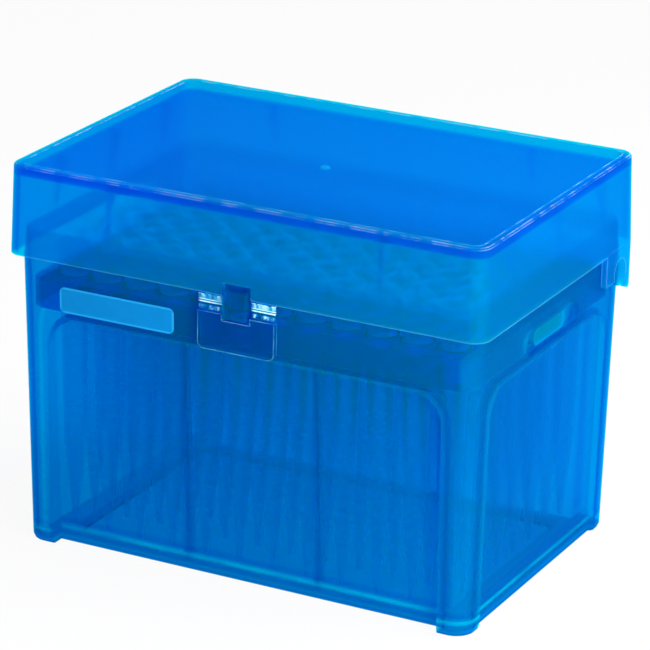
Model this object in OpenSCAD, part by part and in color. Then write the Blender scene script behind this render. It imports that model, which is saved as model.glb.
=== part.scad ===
// Box of pipette tips: a drafted, panelled base with a hinged lid, a snap latch on two
// film hinges, and a removable deck that carries 8 rows of 12 filter tips.
// Millimetres. Origin at the middle of the footprint on the table, +X along the long
// front face, -Y to the front, +Z up.

/* [Tip grid] */
// Distance between neighbouring tips, both ways
pitch = 9; // [8:0.25:11]
// Number of tips in each row
cols = 12; // [8:1:14]
// Gap between the collars of two neighbouring tips
collar_gap = 0.7; // [0.4:0.1:1.5]

/* [Base] */
// Height of the base from the table to the top of its rim
base_h = 79; // [64:1:110]
// Room between the bodies of the end tips and the deck's side guides, along X
side_margin = 2.57; // [0.2:0.01:8.4]
// Room between the bodies of the front tips and the deck's front guide, along Y
front_margin = 0.22; // [0.2:0.01:6.9]
// Wall thickness of the base
wall = 1.4; // [1.1:0.1:2]
// Draft of the base walls in degrees, narrower at the foot
base_draft = 0.9; // [0.3:0.1:1.5]
// Outer radius of the upright corners of the base
base_corner = 5; // [4:0.5:7]
// Size of the rounding under the four feet
foot_round = 1.2; // [0.5:0.1:2]
// Height of the underside of the raised middle of the floor above the table
floor_lift = 0.9; // [0.4:0.1:2]
// Thickness of the floor
floor_t = 1.3; // [0.8:0.1:2]
// Width of the low rim round the raised middle, along the sides
floor_rim_side = 5.4; // [3:0.1:12]
// Width of the low rim along the front and rear
floor_rim_front = 3.4; // [2:0.1:8]

/* [Base panels] */
// Width of each corner post, seen from the front
post_front = 8; // [6:0.5:12]
// Width of each corner post, seen from the side
post_side = 7.6; // [6:0.5:12]
// Radius of the upper corners of each recessed panel
panel_corner = 7; // [3:0.5:10]
// Recess of the front and rear panels at their top
front_recess_top = 2.85; // [1:0.05:3]
// Recess of the front and rear panels at the foot
front_recess_foot = 4.2; // [1:0.05:4.4]
// Recess of the side panels at their top
side_recess_top = 1.3; // [0.8:0.05:2]
// Recess of the side panels at the foot
side_recess_foot = 1.6; // [0.8:0.05:2.4]
// Thickness of the upright fins inside the front and rear panels
fin_t = 1.4; // [0.8:0.1:1.6]
// How far each fin stands into the base at its top
fin_top = 1.4; // [0.5:0.1:1.6]
// How far each fin stands into the base at its foot
fin_foot = 3.6; // [1:0.1:4.5]
// Length of the oblong window in each side wall
window_l = 29; // [12:0.5:40]
// Height of the oblong window
window_h = 5.4; // [3:0.1:5.8]

/* [Lid] */
// How far the lid reaches down over the rim of the base
lid_overlap = 6.1; // [4:0.1:9]
// Height of the lid
lid_h = 21.8; // [16:0.1:40]
// Thickness of the lid's skirt
lid_wall = 1.5; // [1.2:0.1:2]
// Running gap between the lid's skirt and the base
lid_gap = 0.4; // [0.3:0.05:0.8]
// Draft of the lid's walls in degrees, narrower at the top
lid_draft = 1.6; // [0.5:0.1:3]
// Outer radius of the upright corners of the lid
lid_corner = 4; // [3:0.5:6]
// Width of the raised rim round the top of the lid
rim_w = 2; // [1.6:0.1:3]
// Height of that rim above the top plate
rim_rise = 1.65; // [0.5:0.05:3]
// Thickness of the top plate
plate_t = 1.45; // [1:0.05:2.5]
// Thickness of the gussets inside the lid
gusset_t = 1.2; // [0.8:0.1:2]
// Depth of a gusset under the top plate
gusset_top = 3.2; // [2:0.1:5]
// Depth of a gusset at its lower end
gusset_low = 0.4; // [0.3:0.1:2]

/* [Rear hinge] */
// Radius of the round hinge pins on the sides of the base
pin_r = 3.3; // [2.5:0.1:4]
// Running gap round each pin
pin_gap = 0.05; // [0.03:0.01:0.1]
// Height of the pins below the lower edge of the lid
pin_drop = 5.9; // [5:0.1:7]
// Distance of the pins in front of the outside of the rear wall
pin_inset = 6.9; // [6:0.1:9]
// Thickness of the clip round each pin
clip_t = 1.9; // [1.4:0.1:2.5]

/* [Latch] */
// Width of the latch plate
latch_w = 19.8; // [16:0.2:30]
// Height of the latch plate
latch_h = 9.1; // [8:0.1:14]
// Thickness of the latch plate
latch_t = 1.5; // [1.2:0.1:2]
// Radius of the lower corners of the latch plate
latch_corner = 1.6; // [0.5:0.1:4]
// Height of the film hinges between lid and latch plate
film_h = 4.4; // [2:0.1:6]
// Thickness of the film hinges at their middle
film_t = 0.4; // [0.3:0.05:0.6]
// Height of the thick root at each end of a film hinge
film_root = 0.8; // [0.2:0.1:1]
// Distance from the middle of the film hinges down to the bar under the window
bar_drop = 3.75; // [3.2:0.05:6]
// Width of the window in the latch plate
hook_window_w = 7.2; // [6:0.1:10]
// Width of the catch that stands through that window
catch_w = 5.6; // [3:0.1:6]

/* [Deck] */
// Depth of the deck's top face below the rim of the base
deck_drop = 12; // [11:0.5:16]
// Thickness of the deck
deck_t = 1.6; // [1:0.1:3]
// Height of the deck's outer skirt
deck_skirt = 7.4; // [6:0.1:10]
// Gap between the deck and the walls round it
deck_gap = 0.35; // [0.2:0.05:0.6]
// Gap between the deck and the side walls above the side panels
deck_side_gap = 1; // [0.3:0.05:2.2]
// Gap round each tip in its hole
hole_gap = 0.15; // [0.1:0.05:0.3]

/* [Tips] */
// Height of a tip's collar above the deck
collar_h = 10.3; // [6:0.1:10.5]
// Wall thickness of a tip
tip_wall = 0.6; // [0.4:0.05:0.8]
// Outer radius of the blunt end of a tip
tip_end_r = 0.75; // [0.5:0.05:1]
// Bore radius at the end of a tip
tip_bore_r = 0.3; // [0.2:0.05:0.4]
// Length of the steep cone at the lower end of a tip
tip_cone_h = 22; // [10:1:30]
// Gap between the ends of the tips and the floor
tip_floor_gap = 1.1; // [0.5:0.1:3]
// Height of the filter in each tip
filter_h = 5; // [2:0.5:6]

/* [Label] */
// Length of the label on the front
label_l = 30.5; // [15:0.5:36]
// Height of the label
label_h = 6.3; // [4:0.1:8]
// Thickness of the label
label_t = 0.15; // [0.1:0.05:0.3]

/* [Hidden] */

ROWS = 8;
SMOOTH = 64;
HULL_FN = 64;
EPS = 0.01;
FAR = 200;
BLUE = [0.05, 0.5, 0.88, 0.6];
DEEP_BLUE = [0.02, 0.38, 0.82, 0.8];
TIP_BLUE = [0.55, 0.75, 0.9, 0.7];
FILTER_WHITE = [0.95, 0.95, 0.92];
LABEL_BLUE = [0.05, 0.52, 0.87];

// Heights
seam_z = base_h - lid_overlap;
lid_top_z = seam_z + lid_h;
plate_top_z = lid_top_z - rim_rise;
plate_low_z = plate_top_z - plate_t;
deck_z = base_h - deck_drop;
shelf_z = deck_z - deck_skirt;
panel_top_z = shelf_z - wall;
floor_z = floor_lift + floor_t;

// Tip radii follow the pitch
collar_r = (pitch - collar_gap) / 2;
body_r = collar_r - 0.7;
waist_r = body_r - 0.75;
mouth_r = collar_r - tip_wall;

// Half sizes of the base at the seam, added up from the tips to the outside: room, deck
// guide, gap, wall, panel recess and draft. The last line is how they change with height.
guide_t = 0.9;
guide_room = guide_t + deck_gap + wall + base_narrow(panel_top_z);
base_hw = (cols - 1) * pitch / 2 + body_r + side_margin + guide_room + side_recess_top;
base_hd = (ROWS - 1) * pitch / 2 + body_r + front_margin + guide_room + front_recess_top;
function base_narrow(z) = (seam_z - z) * tan(base_draft);
function base_x(z) = base_hw - base_narrow(z);
function base_y(z) = base_hd - base_narrow(z);

// Rear hinge pins
pin_y = base_hd - pin_inset;
pin_z = seam_z - pin_drop;

// The rim that the lid closes over is stepped in and tapers: the skirt's front edge
// moves inwards as it rises over the rim, and passes its top with swing_gap to spare
rim_step = 0.15;
swing_gap = 0.125;
swing_r = base_hd + lid_gap + pin_y;
swing_in = lid_overlap * (lid_overlap / 2 + pin_drop) / swing_r;
rim_taper = max(0, swing_in + swing_gap - lid_gap - rim_step);

// Half sizes of the lid
lid_hw = base_hw + lid_gap + lid_wall;
lid_hd = base_hd + lid_gap + lid_wall;
function lid_narrow(z) = (z - seam_z) * tan(lid_draft);
function lid_x(z) = lid_hw - lid_narrow(z);
function lid_y(z) = lid_hd - lid_narrow(z);
lid_edge_round = 0.5;

// Recessed panels: half length, and the plane of the outer face at its top and foot
front_panel_hw = base_x(panel_top_z) - post_front - 0.4;
side_panel_hd = base_y(panel_top_z) - post_side - 0.4;
front_panel_top = base_y(panel_top_z) - front_recess_top;
front_panel_foot = base_y(0) - front_recess_foot;
side_panel_top = base_x(panel_top_z) - side_recess_top;
side_panel_foot = base_x(0) - side_recess_foot;
floor_hw = side_panel_foot - wall - floor_rim_side;
floor_hd = front_panel_foot - wall - floor_rim_front;
// The deck's guides reach below the shelf; the fins stand in a gap between two columns
// of tips and end under those guides
guide_drop = 2.6;
fin_x = 2 * pitch - 0.7;
fin_top_z = shelf_z - guide_drop - 0.2;

// Window in each side wall, and the deck's snap tab that fills part of it
window_z = shelf_z + 0.9 + window_h / 2;
tab_l = window_l * 0.6;
tab_h = window_h - 1.2;
tab_out = deck_side_gap + 0.55;

// Gussets inside the lid: how far below the top plate they reach
gusset_rest_gap = 0.1;
gusset_rear_lift = 1.6;
gusset_front_x = 35;
gusset_side_pitch = 25;
gusset_side_shift = 2;

// Clips round the hinge pins
ear_in = base_hw + lid_gap;
ear_front_y = pin_y - pin_r - pin_gap - clip_t - 2.8;
ear_front_z = pin_z - 1.7;
ear_tip_r = 2.2;
ear_tip_y = pin_y + pin_r + pin_gap + ear_tip_r - 0.45;
ear_tip_z = pin_z - 3;
pin_end_gap = 0.1;

// Latch: the plate hangs flush with the skirt, the catch stands through its window
latch_face_y = -(lid_hd + 0.2);
latch_y = latch_face_y + latch_t / 2;
latch_top_z = seam_z - film_h;
latch_axis_z = seam_z - film_h / 2;
latch_bar_top_z = latch_axis_z - bar_drop;
latch_low_z = latch_top_z - latch_h;
film_w = (latch_w - hook_window_w) / 2 - 0.1;
catch_out = 1.5;
catch_face_y = latch_face_y - catch_out;
catch_top_z = seam_z + 1.7;
catch_nose_z = seam_z - 1.25;
catch_low_z = latch_bar_top_z + 0.35;
catch_rise = 0.75;
notch_h = 3;
notch_w = hook_window_w + 0.2;

// Deck
deck_hw = base_x(shelf_z) - wall - deck_side_gap;
deck_hd = base_y(shelf_z) - wall - deck_gap;
deck_corner = base_corner - wall - deck_gap;
deck_wall = 1.2;
guide_front_hw = front_panel_hw - 2;
guide_side_hd = side_panel_hd - 6;
guide_front_y = front_panel_y(shelf_z - guide_drop) - wall - deck_gap;
guide_side_x = side_panel_x(shelf_z - guide_drop) - wall - deck_gap;

// Tips: their length follows the deck and the floor
tip_top_z = deck_z + collar_h;
tip_end_z = floor_z + tip_floor_gap;
waist_z = tip_end_z + tip_cone_h;
function bore_r(z) = waist_r - tip_wall + (body_r - waist_r) * (z - waist_z) / (deck_z - waist_z);
filter_z = deck_z - 3 - filter_h;
filter_fit = 0.02;

// Label
label_x = -front_panel_hw + 18.5;
label_z = deck_z - 3.6;
label_rest_gap = 0.01;

// Plane of the outer face of a recessed panel at height z
function front_panel_y(z) = front_panel_foot
    + (front_panel_top - front_panel_foot) * z / panel_top_z;
function side_panel_x(z) = side_panel_foot
    + (side_panel_top - side_panel_foot) * z / panel_top_z;

// ---------------------------------------------------------------- helpers

// Rectangle with round corners, by half sizes
module round_rect(hw, hd, r) {
    square([2 * (hw - r), 2 * hd], center = true);
    square([2 * hw, 2 * (hd - r)], center = true);
    for (x = [-1, 1], y = [-1, 1])
        translate([x * (hw - r), y * (hd - r)]) circle(r, $fn = SMOOTH);
}

// Thin slice of a rounded block, for hull()
module slice(hw, hd, r, z) {
    translate([0, 0, z]) linear_extrude(EPS)
        for (x = [-1, 1], y = [-1, 1])
            translate([x * (hw - r), y * (hd - r)]) circle(r, $fn = HULL_FN);
}

// Upright rounded block with straight walls
module block(hw, hd, r, z0, z1) {
    translate([0, 0, z0]) linear_extrude(z1 - z0) round_rect(hw, hd, r);
}

// Outline of a recessed panel in its own plane: open at the foot, round at the top
module panel_outline(hw, top, r) {
    translate([-hw, -5]) square([2 * hw, top - r + 5]);
    translate([-hw + r, -5]) square([2 * (hw - r), top + 5]);
    for (x = [-1, 1])
        translate([x * (hw - r), top - r]) circle(r, $fn = SMOOTH);
}

// Block that cuts a recessed panel into the front wall. Its inner face leans from
// "top" at the panel's top to "foot" at the table; grow makes it one wall larger.
module panel_cut(hw, top, foot, grow) {
    lean = atan((top - foot) / panel_top_z);
    translate([0, -foot + grow, 0]) rotate([90 + lean, 0, 0])
        linear_extrude(30) panel_outline(hw + grow, panel_top_z + grow, panel_corner + grow);
}

// All four panel cuts
module panels(grow) {
    for (a = [0, 180]) {
        rotate([0, 0, a])
            panel_cut(front_panel_hw, front_panel_top, front_panel_foot, grow);
        rotate([0, 0, a + 90])
            panel_cut(side_panel_hd, side_panel_top, side_panel_foot, grow);
    }
}

// ---------------------------------------------------------------- base

// Outside of the base without panels: rounded feet, drafted walls
module base_outer() {
    hull() {
        slice(base_x(0) - foot_round, base_y(0) - foot_round, base_corner - foot_round, 0);
        slice(base_x(0) - foot_round * 0.3, base_y(0) - foot_round * 0.3,
              base_corner - foot_round * 0.3, foot_round * 0.3);
        slice(base_x(foot_round), base_y(foot_round), base_corner, foot_round);
        slice(base_hw, base_hd, base_corner, seam_z - EPS);
    }
    hull() {
        slice(base_hw - rim_step, base_hd - rim_step, base_corner, seam_z - EPS);
        slice(base_hw - rim_step - rim_taper, base_hd - rim_step - rim_taper,
              base_corner, base_h - EPS);
    }
}

// Inside of the base, from the floor up to the open rim
module base_inner() {
    hull() {
        slice(base_x(0) - wall, base_y(0) - wall, base_corner - wall, -1);
        slice(base_hw - wall, base_hd - wall, base_corner - wall, base_h + 1);
    }
}

// Floor: a low rim that stands on the table, stepped up to a raised middle
module floor_plate() {
    difference() {
        translate([-FAR / 2, -FAR / 2, -1]) cube([FAR, FAR, floor_t + 1]);
        block(floor_hw - floor_t, floor_hd - floor_t, 2, -2, floor_lift);
    }
    block(floor_hw, floor_hd, 2 + floor_t, floor_lift, floor_z);
}

// The inside, less what the panels and the floor take from it
module base_hollow() {
    difference() {
        base_inner();
        panels(wall);
        floor_plate();
    }
}

// Upright fin inside the front panel, deeper at the foot
module fin() {
    y0 = -front_panel_y(floor_t) + wall / 2;
    y1 = -front_panel_y(fin_top_z) + wall / 2;
    rotate([90, 0, 90]) linear_extrude(fin_t, center = true) polygon([
        [y0, floor_t - EPS],
        [y0 + wall / 2 + fin_foot, floor_t - EPS],
        [y1 + wall / 2 + fin_top, fin_top_z],
        [y1, fin_top_z]
    ]);
}

// Catch on the front wall: a wedge that stands through the latch's window
module catch() {
    root_y = -base_hd + wall / 2;
    rotate([90, 0, 90]) linear_extrude(catch_w, center = true) polygon([
        [root_y, catch_low_z],
        [latch_face_y, catch_low_z + catch_rise * 0.6],
        [catch_face_y, catch_low_z + catch_rise],
        [catch_face_y, catch_nose_z],
        [catch_face_y + 1.1, catch_top_z],
        [root_y, catch_top_z]
    ]);
}

// Oblong outline, used for the side windows
module oblong(l, h) {
    square([l - h, h], center = true);
    for (x = [-1, 1])
        translate([x * (l - h) / 2, 0]) circle(h / 2, $fn = SMOOTH);
}

module base() {
    color(BLUE) {
        difference() {
            base_outer();
            panels(0);
            base_hollow();
            translate([0, 0, window_z]) rotate([90, 0, 90])
                linear_extrude(FAR, center = true) oblong(window_l, window_h);
        }
        for (a = [0, 180], x = [-1, 1])
            rotate([0, 0, a]) translate([x * fin_x, 0, 0]) fin();
        catch();
        for (x = [-1, 1])
            translate([x * (base_x(pin_z) - wall / 2), pin_y, pin_z])
                rotate([0, x * 90, 0])
                    cylinder(h = lid_hw - pin_end_gap - base_x(pin_z) + wall / 2,
                             r = pin_r, $fn = SMOOTH);
    }
}

// ---------------------------------------------------------------- lid

// Triangular gusset in the corner of a wall and the top plate. The wall is at y = 0
// at the top plate and leans out by the lid's draft.
module gusset(low_z) {
    drop = plate_low_z - low_z;
    lean = drop * tan(lid_draft);
    rotate([90, 0, 90]) linear_extrude(gusset_t, center = true) polygon([
        [-EPS - lean - 0.3, low_z],
        [-lean + gusset_low, low_z],
        [gusset_top, plate_low_z + EPS],
        [-0.3, plate_low_z + EPS]
    ]);
}

// Side view of the clip that hangs from the lid round a hinge pin, open at the bottom
module ear_outline() {
    difference() {
        union() {
            polygon([
                [ear_front_y, seam_z + 0.5],
                [ear_front_y, ear_front_z],
                [pin_y, ear_front_z],
                [pin_y, pin_z],
                [ear_tip_y - ear_tip_r, pin_z],
                [ear_tip_y - ear_tip_r, ear_tip_z],
                [ear_tip_y + ear_tip_r, ear_tip_z],
                [lid_hd, seam_z],
                [lid_hd, seam_z + 0.5]
            ]);
            translate([ear_tip_y, ear_tip_z]) circle(ear_tip_r, $fn = SMOOTH);
        }
        translate([pin_y, pin_z]) circle(pin_r + pin_gap, $fn = SMOOTH);
    }
}

// Both clips, cut from the lid's own corner so that they carry its rounding down
module ears() {
    intersection() {
        block(lid_hw, lid_hd, lid_corner, ear_tip_z - 5, seam_z + 0.5);
        rotate([90, 0, 90]) linear_extrude(FAR, center = true) ear_outline();
        union() {
            for (x = [-1, 1])
                translate([x * (ear_in + 10), 0, seam_z]) cube([20, FAR, 40], center = true);
        }
    }
}

module lid() {
    inner_top_x = lid_x(plate_low_z) - lid_wall;
    inner_top_y = lid_y(plate_low_z) - lid_wall;
    rest_z = base_h + gusset_rest_gap;
    color(BLUE) difference() {
        union() {
            difference() {
                hull() {
                    slice(lid_hw, lid_hd, lid_corner, seam_z);
                    slice(lid_x(lid_top_z - lid_edge_round), lid_y(lid_top_z - lid_edge_round),
                          lid_corner, lid_top_z - lid_edge_round);
                    slice(lid_x(lid_top_z) - lid_edge_round * 0.8,
                          lid_y(lid_top_z) - lid_edge_round * 0.8,
                          lid_corner - lid_edge_round * 0.8, lid_top_z - EPS);
                }
                hull() {
                    slice(lid_x(seam_z - 1) - lid_wall, lid_y(seam_z - 1) - lid_wall,
                          lid_corner - lid_wall, seam_z - 1);
                    slice(inner_top_x, inner_top_y, lid_corner - lid_wall, plate_low_z - EPS);
                }
                block(lid_x(lid_top_z) - rim_w, lid_y(lid_top_z) - rim_w,
                      lid_corner - rim_w + 0.6, plate_top_z, lid_top_z + 1);
            }
            for (x = [-1, 1]) {
                translate([x * gusset_front_x, -inner_top_y, 0]) gusset(rest_z);
                translate([x * gusset_front_x, inner_top_y, 0]) rotate([0, 0, 180])
                    gusset(rest_z + gusset_rear_lift);
                for (k = [-1, 0, 1])
                    translate([x * inner_top_x, k * gusset_side_pitch + gusset_side_shift, 0])
                        rotate([0, 0, x * 90]) gusset(rest_z);
            }
            ears();
        }
        translate([-notch_w / 2, -lid_hd - 1, seam_z - 1])
            cube([notch_w, lid_wall + 3, notch_h + 1]);
    }
}

// ---------------------------------------------------------------- latch

// Plate with an open window between the two film hinges
module latch() {
    color(DEEP_BLUE)
    translate([0, latch_face_y + latch_t, 0]) rotate([90, 0, 0]) linear_extrude(latch_t)
        difference() {
            union() {
                translate([-latch_w / 2, latch_low_z + latch_corner])
                    square([latch_w, latch_h - latch_corner]);
                translate([-latch_w / 2 + latch_corner, latch_low_z])
                    square([latch_w - 2 * latch_corner, latch_h]);
                for (x = [-1, 1])
                    translate([x * (latch_w / 2 - latch_corner), latch_low_z + latch_corner])
                        circle(latch_corner, $fn = SMOOTH);
            }
            translate([-hook_window_w / 2, latch_bar_top_z])
                square([hook_window_w, latch_h]);
        }
}

// The two films that the latch swings on: thin in the middle, thick at both roots
module latch_films() {
    thick = latch_t / 2;
    thin = film_t / 2;
    bend = film_h / 2 - film_root;
    color(DEEP_BLUE) for (x = [-1, 1])
        translate([x * (latch_w - film_w) / 2, latch_y, latch_axis_z])
            rotate([90, 0, 90]) linear_extrude(film_w, center = true) polygon([
                [-thick, -film_h / 2],
                [thick, -film_h / 2],
                [thin, -bend],
                [thin, bend],
                [thick, film_h / 2],
                [-thick, film_h / 2],
                [-thin, bend],
                [-thin, -bend]
            ]);
}

// ---------------------------------------------------------------- deck

// One straight guide skirt that drops inside a panel, along the front
module guide(hw, y) {
    translate([-hw, -y, shelf_z - guide_drop])
        cube([2 * hw, guide_t, deck_z - shelf_z + guide_drop - deck_t / 2]);
}

module deck() {
    color(DEEP_BLUE) {
        translate([0, 0, deck_z - deck_t]) linear_extrude(deck_t) difference() {
            round_rect(deck_hw, deck_hd, deck_corner);
            for (i = [0 : cols - 1], j = [0 : ROWS - 1])
                translate([tip_x(i), tip_y(j)]) circle(body_r + hole_gap, $fn = SMOOTH);
        }
        translate([0, 0, shelf_z]) linear_extrude(deck_skirt - deck_t / 2) difference() {
            round_rect(deck_hw, deck_hd, deck_corner);
            round_rect(deck_hw - deck_wall, deck_hd - deck_wall, deck_corner - deck_wall);
        }
        for (a = [0, 180]) {
            rotate([0, 0, a]) guide(guide_front_hw, guide_front_y);
            rotate([0, 0, a + 90]) guide(guide_side_hd, guide_side_x);
            rotate([0, 0, a]) translate([deck_hw - EPS, 0, window_z])
                rotate([90, 0, 90]) linear_extrude(tab_out) oblong(tab_l, tab_h);
        }
    }
}

// ---------------------------------------------------------------- tips and filters

function tip_x(i) = (i - (cols - 1) / 2) * pitch;
function tip_y(j) = ((ROWS - 1) / 2 - j) * pitch;

// One hollow tip: collar, drafted body, steep cone
module tip() {
    rotate_extrude($fn = SMOOTH) polygon([
        [tip_bore_r, tip_end_z],
        [tip_end_r, tip_end_z],
        [waist_r, waist_z],
        [body_r, deck_z],
        [collar_r - 0.1, deck_z],
        [collar_r, tip_top_z],
        [mouth_r, tip_top_z],
        [bore_r(deck_z), deck_z],
        [bore_r(waist_z), waist_z]
    ]);
}

module tips_row(j) {
    color(TIP_BLUE) for (i = [0 : cols - 1])
        translate([tip_x(i), tip_y(j), 0]) tip();
}

module filters_row(j) {
    color(FILTER_WHITE) for (i = [0 : cols - 1])
        translate([tip_x(i), tip_y(j), filter_z])
            cylinder(h = filter_h, r1 = bore_r(filter_z) - filter_fit,
                     r2 = bore_r(filter_z + filter_h) - filter_fit, $fn = SMOOTH);
}

// ---------------------------------------------------------------- label

// Bare label on the drafted front wall
module label() {
    color(LABEL_BLUE)
    translate([label_x, -base_y(label_z) - label_rest_gap, label_z])
        rotate([90 + base_draft, 0, 0])
        linear_extrude(label_t) round_rect(label_l / 2, label_h / 2, 1.4);
}

base();
lid();
latch();
latch_films();
deck();
label();
tips_row(0);  // tips_row_a
tips_row(1);  // tips_row_b
tips_row(2);  // tips_row_c
tips_row(3);  // tips_row_d
tips_row(4);  // tips_row_e
tips_row(5);  // tips_row_f
tips_row(6);  // tips_row_g
tips_row(7);  // tips_row_h
filters_row(0);  // filters_row_a
filters_row(1);  // filters_row_b
filters_row(2);  // filters_row_c
filters_row(3);  // filters_row_d
filters_row(4);  // filters_row_e
filters_row(5);  // filters_row_f
filters_row(6);  // filters_row_g
filters_row(7);  // filters_row_h
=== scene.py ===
import math

import bpy
from mathutils import Matrix, Vector


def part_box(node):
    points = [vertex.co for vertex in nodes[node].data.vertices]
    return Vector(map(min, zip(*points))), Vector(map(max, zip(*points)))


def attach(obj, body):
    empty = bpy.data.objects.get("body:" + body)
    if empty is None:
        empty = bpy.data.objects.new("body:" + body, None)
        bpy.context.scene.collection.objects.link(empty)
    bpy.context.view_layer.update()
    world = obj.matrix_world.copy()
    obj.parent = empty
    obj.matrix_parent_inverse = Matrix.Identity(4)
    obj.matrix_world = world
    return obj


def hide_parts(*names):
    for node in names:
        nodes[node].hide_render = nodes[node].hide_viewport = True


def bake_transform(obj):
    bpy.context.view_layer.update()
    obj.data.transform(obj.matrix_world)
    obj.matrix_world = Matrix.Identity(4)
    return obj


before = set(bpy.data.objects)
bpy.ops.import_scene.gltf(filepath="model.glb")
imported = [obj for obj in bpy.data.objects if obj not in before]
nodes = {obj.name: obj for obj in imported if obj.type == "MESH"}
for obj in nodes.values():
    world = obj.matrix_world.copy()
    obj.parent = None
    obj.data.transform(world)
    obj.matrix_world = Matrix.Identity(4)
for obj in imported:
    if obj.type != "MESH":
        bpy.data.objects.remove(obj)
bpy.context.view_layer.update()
scene = bpy.context.scene

# Everything is in metres. A pair of heights or widths is where a painted mark starts and ends.
BASE_OUTER_HALF = (0.0585, 0.0405)  # a little inside the base's outer side faces
LID_OUTER_HALF = (0.0616, 0.0428)
FOOT_SHADE_Z = (0.0007, 0.0011)
FLOOR_JOINT_HIGHLIGHT_Z = (0.0032, 0.0039)
FLOOR_JOINT_SHADE_Z = (0.0049, 0.0055)
LID_RIM_SHADE_Z = (0.0926, 0.0940)
LID_LIP_HIGHLIGHT_Z = (0.0941, 0.0943)
SKIRT_HIGHLIGHT_Z = (0.0660, 0.0735)
GRIP_TAB_X = (0.0540, 0.0550)
TIP_COLLAR_Z = (0.0743, 0.0750)
FILM_UPPER_Z = (0.0714, 0.0724)
FILM_ROOT_Z = (0.0723, 0.0725)
FILM_FOLD_UPPER_Z = (0.0711, 0.0712)
FILM_FOLD_LOWER_Z = (0.0705, 0.0707)
FILM_LOWER_Z = (0.0691, 0.0697)
LABEL_RIM_WIDTH = 0.0006
LABEL_RIM_SOFT = 0.0003

# Half the width of the gap between the two films, and a film's shape
FILM_INNER_X = 0.0037
FILM_FLAT_HALF = 0.0012  # half height of its thin middle
FILM_THIN_HALF = 0.0002  # half thickness there
FILM_INSET = 0.00003  # how far its ends stay clear of lid and latch
FILM_STEPS, FILM_ACROSS = 44, 10

LID_PLATE_Z = 0.09305
GATE_CENTRE = (0.0012, -0.0025)
GATE_TURNS = 36

FLOOR_HALF, FLOOR_DROP = 3, 0.0002
FLOOR_SEEN = 0.93  # share of plain white in the floor, as the camera sees it
FLOOR_THROUGH = 0.52  # the same, seen through the plastic or mirrored
WORLD_LIGHT = 0.38  # the world's strength as a light

DYE_DRIFT = 0.95  # red and green where a moulding has most dye

# ---------------------------------------------------------------- camera
AZIMUTH = math.radians(27.204)
ELEVATION = math.radians(20.107)
ROLL = math.radians(1.137)
DISTANCE = 0.86166
TARGET = Vector((0.000137, 0.001147, 0.052627))

back = Vector((
    math.sin(AZIMUTH) * math.cos(ELEVATION),
    -math.cos(AZIMUTH) * math.cos(ELEVATION),
    math.sin(ELEVATION),
))
right = (-back).cross(Vector((0, 0, 1))).normalized()
up = right.cross(-back)
cam_x = right * math.cos(ROLL) + up * math.sin(ROLL)
cam_y = up * math.cos(ROLL) - right * math.sin(ROLL)
cam = bpy.data.objects.new("camera", bpy.data.cameras.new("camera"))
scene.collection.objects.link(cam)
cam.matrix_world = Matrix.Translation(TARGET + back * DISTANCE) @ Matrix(
    (cam_x, cam_y, back)).transposed().to_4x4()
cam.data.lens = 200.58
cam.data.sensor_width = 36.0
scene.camera = cam


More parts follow.
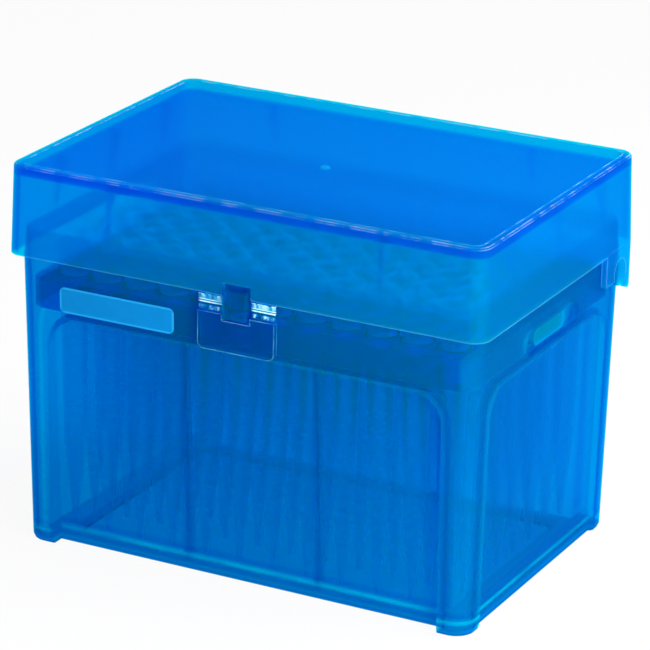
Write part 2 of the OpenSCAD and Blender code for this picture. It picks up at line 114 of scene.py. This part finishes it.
# ---------------------------------------------------------------- materials
class Maker:
    """A material's node tree, built call by call. Values may be numbers or sockets."""

    def __init__(self, name):
        self.mat = bpy.data.materials.new(name)
        self.mat.use_nodes = True
        self.tree = self.mat.node_tree
        self.tree.nodes.clear()
        self.out = self.add("ShaderNodeOutputMaterial")

    def add(self, kind, **values):
        node = self.tree.nodes.new(kind)
        for key, value in values.items():
            setattr(node, key, value)
        return node

    def put(self, socket, value):
        if isinstance(value, bpy.types.NodeSocket):
            self.tree.links.new(value, socket)
        else:
            socket.default_value = value

    def math(self, operation, a, b=0.0):
        node = self.add("ShaderNodeMath", operation=operation)
        self.put(node.inputs[0], a)
        self.put(node.inputs[1], b)
        return node.outputs[0]

    def times(self, *values):
        result = values[0]
        for value in values[1:]:
            result = self.math("MULTIPLY", result, value)
        return result

    def span(self, value, a, b, c=0.0, d=1.0):
        node = self.add("ShaderNodeMapRange")
        self.put(node.inputs["Value"], value)
        for key, x in (("From Min", a), ("From Max", b), ("To Min", c), ("To Max", d)):
            self.put(node.inputs[key], x)
        return node.outputs["Result"]

    def band(self, value, low, high, soft=0.0003):
        """1 between low and high, 0 outside, with soft sides."""
        return self.times(self.span(value, low - soft, low), self.span(value, high, high + soft, 1, 0))

    def noise(self, vector, scale, detail=2.0):
        node = self.add("ShaderNodeTexNoise")
        self.put(node.inputs["Vector"], vector)
        node.inputs["Scale"].default_value = scale
        node.inputs["Detail"].default_value = detail
        return node.outputs["Fac"]

    def blend(self, factor, a, b):
        node = self.add("ShaderNodeMix", data_type="RGBA")
        self.put(node.inputs[0], factor)
        self.put(node.inputs[6], a)
        self.put(node.inputs[7], b)
        return node.outputs[2]

    def vector(self, operation, a, b):
        node = self.add("ShaderNodeVectorMath", operation=operation)
        self.put(node.inputs[0], a)
        self.put(node.inputs[1], b)
        return node.outputs["Value" if operation == "DOT_PRODUCT" else "Vector"]

    def coordinates(self):
        """The object coordinates, and each of the three alone."""
        self.coord = self.add("ShaderNodeTexCoord").outputs["Object"]
        split = self.add("ShaderNodeSeparateXYZ")
        self.put(split.inputs[0], self.coord)
        self.x, self.y, self.z = split.outputs

    def rounding(self, radius):
        """Measures how far each point's surface would turn if edges were rounded by radius."""
        soft = self.add("ShaderNodeBevel", samples=2)
        soft.inputs["Radius"].default_value = radius
        flat = self.add("ShaderNodeNewGeometry").outputs["Normal"]
        self.turned = self.vector("DOT_PRODUCT", soft.outputs[0], flat)

    def edges(self, low, high):
        """1 along edges and corners, 0 on flat faces."""
        return self.span(self.turned, high, low)

    def outward(self, half_width, half_depth):
        """1 on a shell's outer side faces, 0 on its inner ones."""
        scaled = self.vector("MULTIPLY", self.coord, (1 / half_width, 1 / half_depth, 0))
        flat = self.add("ShaderNodeNewGeometry").outputs["True Normal"]
        return self.span(self.vector("DOT_PRODUCT", scaled, flat), 0.5, 0.7)


def moulded(name, colour, clear, absorb=None, rough=0.1, ior=1.01, edge=None, edge_r=0.0,
            edge_mix=0.6, coat=0.0, bump=0.02, paint=None):
    """Translucent polypropylene: clear is the share that passes, the rest scatters as its haze.
    absorb is what a metre of it takes from red, green and blue. edge is a colour painted along
    edges, as painted highlight where pale and painted shade where deep, and paint adds its own marks."""
    m = Maker(name)
    m.coordinates()
    p = m.add("ShaderNodeBsdfPrincipled")
    p.inputs["IOR"].default_value = ior
    p.inputs["Specular Tint"].default_value = (0.1, 0.7, 1.0, 1)
    p.inputs["Transmission Weight"].default_value = clear
    # slow drift of the dye over the moulding
    faint = (colour[0] * DYE_DRIFT, colour[1] * DYE_DRIFT, colour[2], 1)
    base = m.blend(m.noise(m.coord, 25.0), faint, (*colour, 1))
    if edge_r:
        m.rounding(edge_r)
    if edge:
        # painted edges: a painted highlight where the edge colour is pale, painted shade where it is deep
        painted_edge_mask = m.times(m.edges(0.9, 0.985), m.span(m.noise(m.coord, 140.0, 3.0), 0.35, 0.6, 0.55, 1.0))
        base = m.blend(m.times(painted_edge_mask, edge_mix), base, (*edge, 1))
        if coat:
            m.put(p.inputs["Coat Weight"], m.times(painted_edge_mask, coat))
            p.inputs["Coat Roughness"].default_value = 0.15
    if paint:
        base = paint(m, p, base)
    m.put(p.inputs["Base Color"], base)
    m.put(p.inputs["Roughness"], m.span(m.noise(m.coord, 60.0, 3.0), 0.0, 1.0, rough * 0.87, rough * 1.13))
    # fine unevenness of the moulded skin
    if bump:
        b = m.add("ShaderNodeBump")
        b.inputs["Strength"].default_value = bump
        b.inputs["Distance"].default_value = 0.0002
        m.put(b.inputs["Height"], m.noise(m.coord, 350.0))
        m.put(p.inputs["Normal"], b.outputs["Normal"])
    m.put(m.out.inputs["Surface"], p.outputs["BSDF"])
    if absorb:
        most = max(absorb)
        v = m.add("ShaderNodeVolumeAbsorption")
        v.inputs["Color"].default_value = (*[1 - a / most for a in absorb], 1)
        v.inputs["Density"].default_value = most
        m.put(m.out.inputs["Volume"], v.outputs["Volume"])
    return m.mat


def hazier(m, p, mask, clear):
    """Where the mask is 1 less passes and more scatters."""
    m.put(p.inputs["Transmission Weight"],
          m.span(mask, 0.0, 1.0, p.inputs["Transmission Weight"].default_value, clear))


def base_paint(m, p, base):
    """Painted light on the base's bottom: painted shade as a deep stripe along its bottom edge, and
    where the floor meets the walls a stripe of painted shade over a painted highlight."""
    out = m.outward(*BASE_OUTER_HALF)
    # painted shade: a deep stripe along the bottom edge
    bottom_edge_shade = m.times(m.span(m.z, *FOOT_SHADE_Z, 1, 0), 0.85)
    base = m.blend(bottom_edge_shade, base, (0.0, 0.25, 0.7, 1))
    # painted shade: a dark stripe over the floor joint, on the outer faces
    base = m.blend(m.times(m.band(m.z, *FLOOR_JOINT_SHADE_Z), out, 0.5), base, (0.0, 0.5, 0.9, 1))
    # painted highlight: a broken bright stripe where the floor meets the walls, paler and hazier
    broken = m.span(m.noise(m.coord, 90.0), 0.35, 0.6, 0.5, 1.0)
    joint_highlight = m.times(m.band(m.z, *FLOOR_JOINT_HIGHLIGHT_Z), out, broken)
    base = m.blend(joint_highlight, base, (0.0, 1.0, 1.0, 1))
    hazier(m, p, joint_highlight, 0.8)
    return base


def lid_paint(m, p, base):
    """Painted shade on the outside of the solid rim round the lid's plate, and a broken painted
    highlight in white on its top edge. The skirt's bottom edge gets a weaker painted highlight."""
    # painted shade: deeper blue on the outside of the solid rim
    rim = m.times(m.band(m.z, *LID_RIM_SHADE_Z, 0.0006), m.outward(*LID_OUTER_HALF), 0.8)
    base = m.blend(rim, base, (0.0, 0.42, 0.96, 1))
    # painted highlights: a broken white stripe on the rim's top edge and a weaker one on the skirt's bottom
    # edge
    lip_highlight = m.times(m.edges(0.8, 0.99), m.span(m.z, *LID_LIP_HIGHLIGHT_Z),
                  m.span(m.noise(m.coord, 260.0, 3.0), 0.45, 0.6))
    skirt_edge_highlight = m.times(m.edges(0.85, 0.99), m.band(m.z, *SKIRT_HIGHLIGHT_Z, 0.0002), 0.3)
    base = m.blend(m.math("MAXIMUM", lip_highlight, skirt_edge_highlight), base, (0.7, 0.95, 1.0, 1))
    hazier(m, p, m.math("MAXIMUM", lip_highlight, skirt_edge_highlight), 0.3)
    return base


def deck_paint(m, p, base):
    """The grip tabs in the end windows are thin, so they look paler."""
    tab = m.span(m.math("ABSOLUTE", m.x), *GRIP_TAB_X)
    base = m.blend(tab, base, (0.0, 0.85, 0.97, 1))
    hazier(m, p, tab, 0.86)
    return base


def tip_paint(m, p, base):
    """A tip's thick collar is whiter than its thin cone."""
    collar = m.span(m.z, *TIP_COLLAR_Z)
    base = m.blend(collar, base, (0.75, 0.93, 0.99, 1))
    hazier(m, p, collar, 0.86)
    return base


def latch_paint(m, p, base):
    """Painted highlights: bright broken lines on the latch plate's rim and its bar."""
    broken = m.span(m.noise(m.coord, 200.0, 3.0), 0.38, 0.6, 0.3, 1.0)
    glint = m.times(m.edges(0.85, 0.99), broken, 0.9)
    base = m.blend(glint, base, (0.35, 0.88, 1.0, 1))
    hazier(m, p, glint, 0.25)
    return base


def film_paint(m, p, base):
    """The thin films catch the light in two bright bands with a blue fold between them."""
    streak = m.add("ShaderNodeMapping")
    m.put(streak.inputs["Vector"], m.coord)
    streak.inputs["Scale"].default_value = (1.0, 1.0, 0.15)
    streaks = m.span(m.noise(streak.outputs[0], 900.0, 3.0), 0.4, 0.58, 0.15, 1.0)
    upper = m.math("MAXIMUM", m.times(m.band(m.z, *FILM_UPPER_Z, 0.0002), 0.7),
                   m.band(m.z, *FILM_ROOT_Z, 0.0001))
    fold = m.math("MAXIMUM", m.band(m.z, *FILM_FOLD_UPPER_Z, 0.0001),
                  m.band(m.z, *FILM_FOLD_LOWER_Z, 0.0001))
    lower = m.times(m.band(m.z, *FILM_LOWER_Z, 0.0002),
                    m.span(m.noise(streak.outputs[0], 1500.0), 0.42, 0.55), 0.8)
    bright = m.math("MAXIMUM", m.times(m.math("MAXIMUM", upper, lower), streaks), fold)
    base = m.blend(bright, base, (0.6, 0.95, 1.0, 1))
    hazier(m, p, bright, 0.1)
    return base


def label_material():
    m = Maker("label_film")
    m.coordinates()
    low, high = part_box("label")
    p = m.add("ShaderNodeBsdfPrincipled")
    p.inputs["IOR"].default_value = 1.1
    p.inputs["Specular Tint"].default_value = (0.1, 0.7, 1.0, 1)
    # plain paper colour with faint fibres, and a paler die-cut rim
    paper = m.blend(m.noise(m.coord, 400.0, 4.0), (0.003, 0.192, 0.52, 1), (0.003, 0.225, 0.585, 1))
    rims = []
    for axis, position in ((0, m.x), (2, m.z)):
        middle, half = (low[axis] + high[axis]) / 2, (high[axis] - low[axis]) / 2
        away = m.math("ABSOLUTE", m.math("SUBTRACT", position, middle))
        rims.append(m.span(away, half - LABEL_RIM_WIDTH, half - LABEL_RIM_SOFT))
    rim = m.times(m.math("MAXIMUM", *rims), 0.6)
    m.put(p.inputs["Base Color"], m.blend(rim, paper, (0.02, 0.40, 0.82, 1)))
    m.put(p.inputs["Roughness"], m.span(m.noise(m.coord, 300.0, 3.0), 0.0, 1.0, 0.42, 0.58))
    b = m.add("ShaderNodeBump")
    b.inputs["Strength"].default_value = 0.05
    b.inputs["Distance"].default_value = 0.0001
    m.put(b.inputs["Height"], m.noise(m.coord, 900.0, 4.0))
    m.put(p.inputs["Normal"], b.outputs["Normal"])
    m.put(m.out.inputs["Surface"], p.outputs["BSDF"])
    return m.mat


def assign(names, mat):
    for name in names:
        o = nodes[name]
        if not o.material_slots:
            o.data.materials.append(mat)
        for s in o.material_slots:
            s.material = mat


# the base's edges get painted shade: a deeper blue along every edge
blue = moulded("blue_polypropylene", (0.0, 0.965, 0.98), 0.945, (600, 310, 54), edge=(0.0, 0.35, 0.75),
               edge_r=0.0006, paint=base_paint)
# the lid's edges get a painted highlight: pale cyan along every edge
lid_blue = moulded("lid_polypropylene", (0.0, 0.96, 0.985), 0.925, (600, 300, 24), rough=0.37, ior=1.012,
                   edge=(0.0, 1.0, 1.0), edge_r=0.0004, edge_mix=0.5, coat=0.5, paint=lid_paint)
latch_blue = moulded("latch_polypropylene", (0.0, 0.85, 0.99), 0.96, (600, 480, 10), edge_r=0.00035,
                     paint=latch_paint)
film_blue = moulded("film_polypropylene", (0.0, 0.80, 0.99), 0.95, (600, 330, 20), paint=film_paint)
deck_blue = moulded("deck_polypropylene", (0.0, 0.22, 0.9), 0.95, (600, 560, 110), rough=0.42,
                    paint=deck_paint)
tip_clear = moulded("tip_polypropylene", (0.56, 0.805, 0.962), 0.94, rough=0.45, ior=1.0, bump=0.0,
                    paint=tip_paint)
filter_white = moulded("filter_fibre", (0.8, 0.95, 0.99), 0.35, rough=0.9, ior=1.0, bump=0.0)

assign(["base"], blue)
assign(["lid"], lid_blue)
assign(["latch"], latch_blue)
assign(["deck"], deck_blue)
assign([n for n in nodes if n.startswith("tips_row")], tip_clear)
assign([n for n in nodes if n.startswith("filters_row")], filter_white)
assign(["label"], label_material())


# ---------------------------------------------------------------- pieces
def piece(name, points, faces, mat):
    mesh = bpy.data.meshes.new(name)
    mesh.from_pydata(points, [], faces)
    mesh.update()
    mesh.materials.append(mat)
    o = bpy.data.objects.new(name, mesh)
    scene.collection.objects.link(o)
    for f in mesh.polygons:
        f.use_smooth = True
    return o


def film_hinges():
    """The two films the latch hangs by: thin in the middle and thick at their roots."""
    low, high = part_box("latch_films")
    y = (low[1] + high[1]) / 2
    half = (high[1] - low[1]) / 2 - 0.00002
    axis = (low[2] + high[2]) / 2
    points, faces = [], []
    for side in (-1, 1):
        ends = (FILM_INNER_X, high[0]) if side > 0 else (low[0], -FILM_INNER_X)
        ring0 = len(points)
        for i in range(FILM_STEPS + 1):
            z = high[2] - FILM_INSET + (low[2] - high[2] + 2 * FILM_INSET) * i / FILM_STEPS
            t = min(1.0, max(0.0, (abs(z - axis) - FILM_FLAT_HALF) / (high[2] - axis - FILM_FLAT_HALF)))
            t = FILM_THIN_HALF + (half - FILM_THIN_HALF) * t * t * (3 - 2 * t)
            for front in (-1, 1):
                for k in range(FILM_ACROSS + 1):
                    u = k / FILM_ACROSS if front < 0 else 1 - k / FILM_ACROSS
                    x = ends[0] + (ends[1] - ends[0]) * u
                    # the two long edges are rounded over
                    round_off = min(1.0, 0.55 + 3.0 * min(u, 1 - u))
                    points.append((x, y + front * t * round_off, z))
        n = 2 * (FILM_ACROSS + 1)
        for i in range(FILM_STEPS):
            for k in range(n):
                a, b = ring0 + i * n + k, ring0 + i * n + (k + 1) % n
                faces.append((a, a + n, b + n, b))
        faces.append(tuple(ring0 + k for k in range(n)))
        faces.append(tuple(ring0 + FILM_STEPS * n + k for k in reversed(range(n))))
    o = piece("film_hinges", points, faces, film_blue)
    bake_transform(o)
    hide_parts("latch_films")


def gate_mark():
    """The scar of the injection gate in the middle of the lid's plate: a low ring round a dimple."""
    # radius in millimetres, and height over the plate in metres
    profile = [(0.0, 0.00012), (0.25, 0.00008), (0.45, 0.00014), (0.62, 0.00030), (0.8, 0.00034),
               (0.95, 0.00022), (1.15, 0.00008), (1.35, -0.00004)]
    points = [(*GATE_CENTRE, LID_PLATE_Z + profile[0][1])]
    faces = []
    for r, h in profile[1:]:
        for k in range(GATE_TURNS):
            a = 2 * math.pi * k / GATE_TURNS
            points.append((GATE_CENTRE[0] + r * 0.001 * math.cos(a),
                           GATE_CENTRE[1] + r * 0.001 * math.sin(a), LID_PLATE_Z + h))
    for k in range(GATE_TURNS):
        faces.append((0, 1 + k, 1 + (k + 1) % GATE_TURNS))
    for i in range(len(profile) - 2):
        for k in range(GATE_TURNS):
            a = 1 + i * GATE_TURNS + k
            b = 1 + i * GATE_TURNS + (k + 1) % GATE_TURNS
            faces.append((a, a + GATE_TURNS, b + GATE_TURNS, b))
    # its edges get a painted highlight in pale cyan
    o = piece("gate_mark", points, faces, moulded(
        "gate_polypropylene", (0.0, 0.75, 0.97), 0.8, rough=0.2, edge=(0.0, 1.0, 1.0), edge_r=0.0003, coat=0.5))
    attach(o, "lid")


film_hinges()
gate_mark()

# ---------------------------------------------------------------- floor, world, lamps
mesh = bpy.data.meshes.new("floor")
mesh.from_pydata([(x * FLOOR_HALF, y * FLOOR_HALF, 0) for x, y in ((-1, -1), (1, -1), (1, 1), (-1, 1))],
                 [], [(0, 1, 2, 3)])
floor = bpy.data.objects.new("floor", mesh)
floor.location.z = -FLOOR_DROP
scene.collection.objects.link(floor)
m = Maker("floor")
path = m.add("ShaderNodeLightPath").outputs
# nearly white to the camera, and seen through the plastic with its shadow
seen = m.math("MAXIMUM", m.times(path["Is Camera Ray"], FLOOR_SEEN),
              m.times(m.math("MAXIMUM", path["Is Glossy Ray"], path["Is Transmission Ray"]), FLOOR_THROUGH))
diffuse = m.add("ShaderNodeBsdfDiffuse")
diffuse.inputs["Color"].default_value = (0.85, 0.85, 0.85, 1)
glow = m.add("ShaderNodeEmission")
glow.inputs["Color"].default_value = (1, 1, 1, 1)
mix = m.add("ShaderNodeMixShader")
m.put(mix.inputs["Fac"], seen)
m.put(mix.inputs[1], diffuse.outputs[0])
m.put(mix.inputs[2], glow.outputs[0])
m.put(m.out.inputs["Surface"], mix.outputs[0])
mesh.materials.append(m.mat)
m.mat.cycles.emission_sampling = "NONE"

world = bpy.data.worlds.new("world")
scene.world = world
world.use_nodes = True
m = Maker.__new__(Maker)
m.tree = world.node_tree
m.tree.nodes.clear()
path = m.add("ShaderNodeLightPath").outputs
seen = m.math("MAXIMUM", path["Is Camera Ray"],
              m.math("MAXIMUM", path["Is Glossy Ray"], path["Is Transmission Ray"]))
sky = m.add("ShaderNodeBackground")
sky.inputs["Color"].default_value = (1, 1, 1, 1)
m.put(sky.inputs["Strength"], m.span(seen, 0.0, 1.0, WORLD_LIGHT, 1.0))
m.put(m.add("ShaderNodeOutputWorld").inputs["Surface"], sky.outputs[0])


def lamp(name, place, aim, size, power, through=True):
    """A square softbox. With through False it still lights and glints, but doesn't show
    as a bright square through the plastic."""
    data = bpy.data.lights.new(name, "AREA")
    data.shape = "SQUARE"
    data.size = size
    data.energy = power
    o = bpy.data.objects.new(name, data)
    scene.collection.objects.link(o)
    o.location = place
    o.rotation_euler = (Vector(place) - Vector(aim)).to_track_quat("Z", "Y").to_euler()
    o.visible_transmission = through


lamp("right_softbox", (0.23, -0.19, 0.10), (0.05, -0.02, 0.03), 0.16, 1.08, through=False)
lamp("top_softbox", (0.22, 0.12, 0.45), (0.0, 0, 0.09), 0.4, 2.85)

scene.view_settings.view_transform = "Standard"
scene.cycles.max_bounces = 28
scene.cycles.diffuse_bounces = 4
scene.cycles.glossy_bounces = 8
scene.cycles.transmission_bounces = 28
scene.cycles.transparent_max_bounces = 40
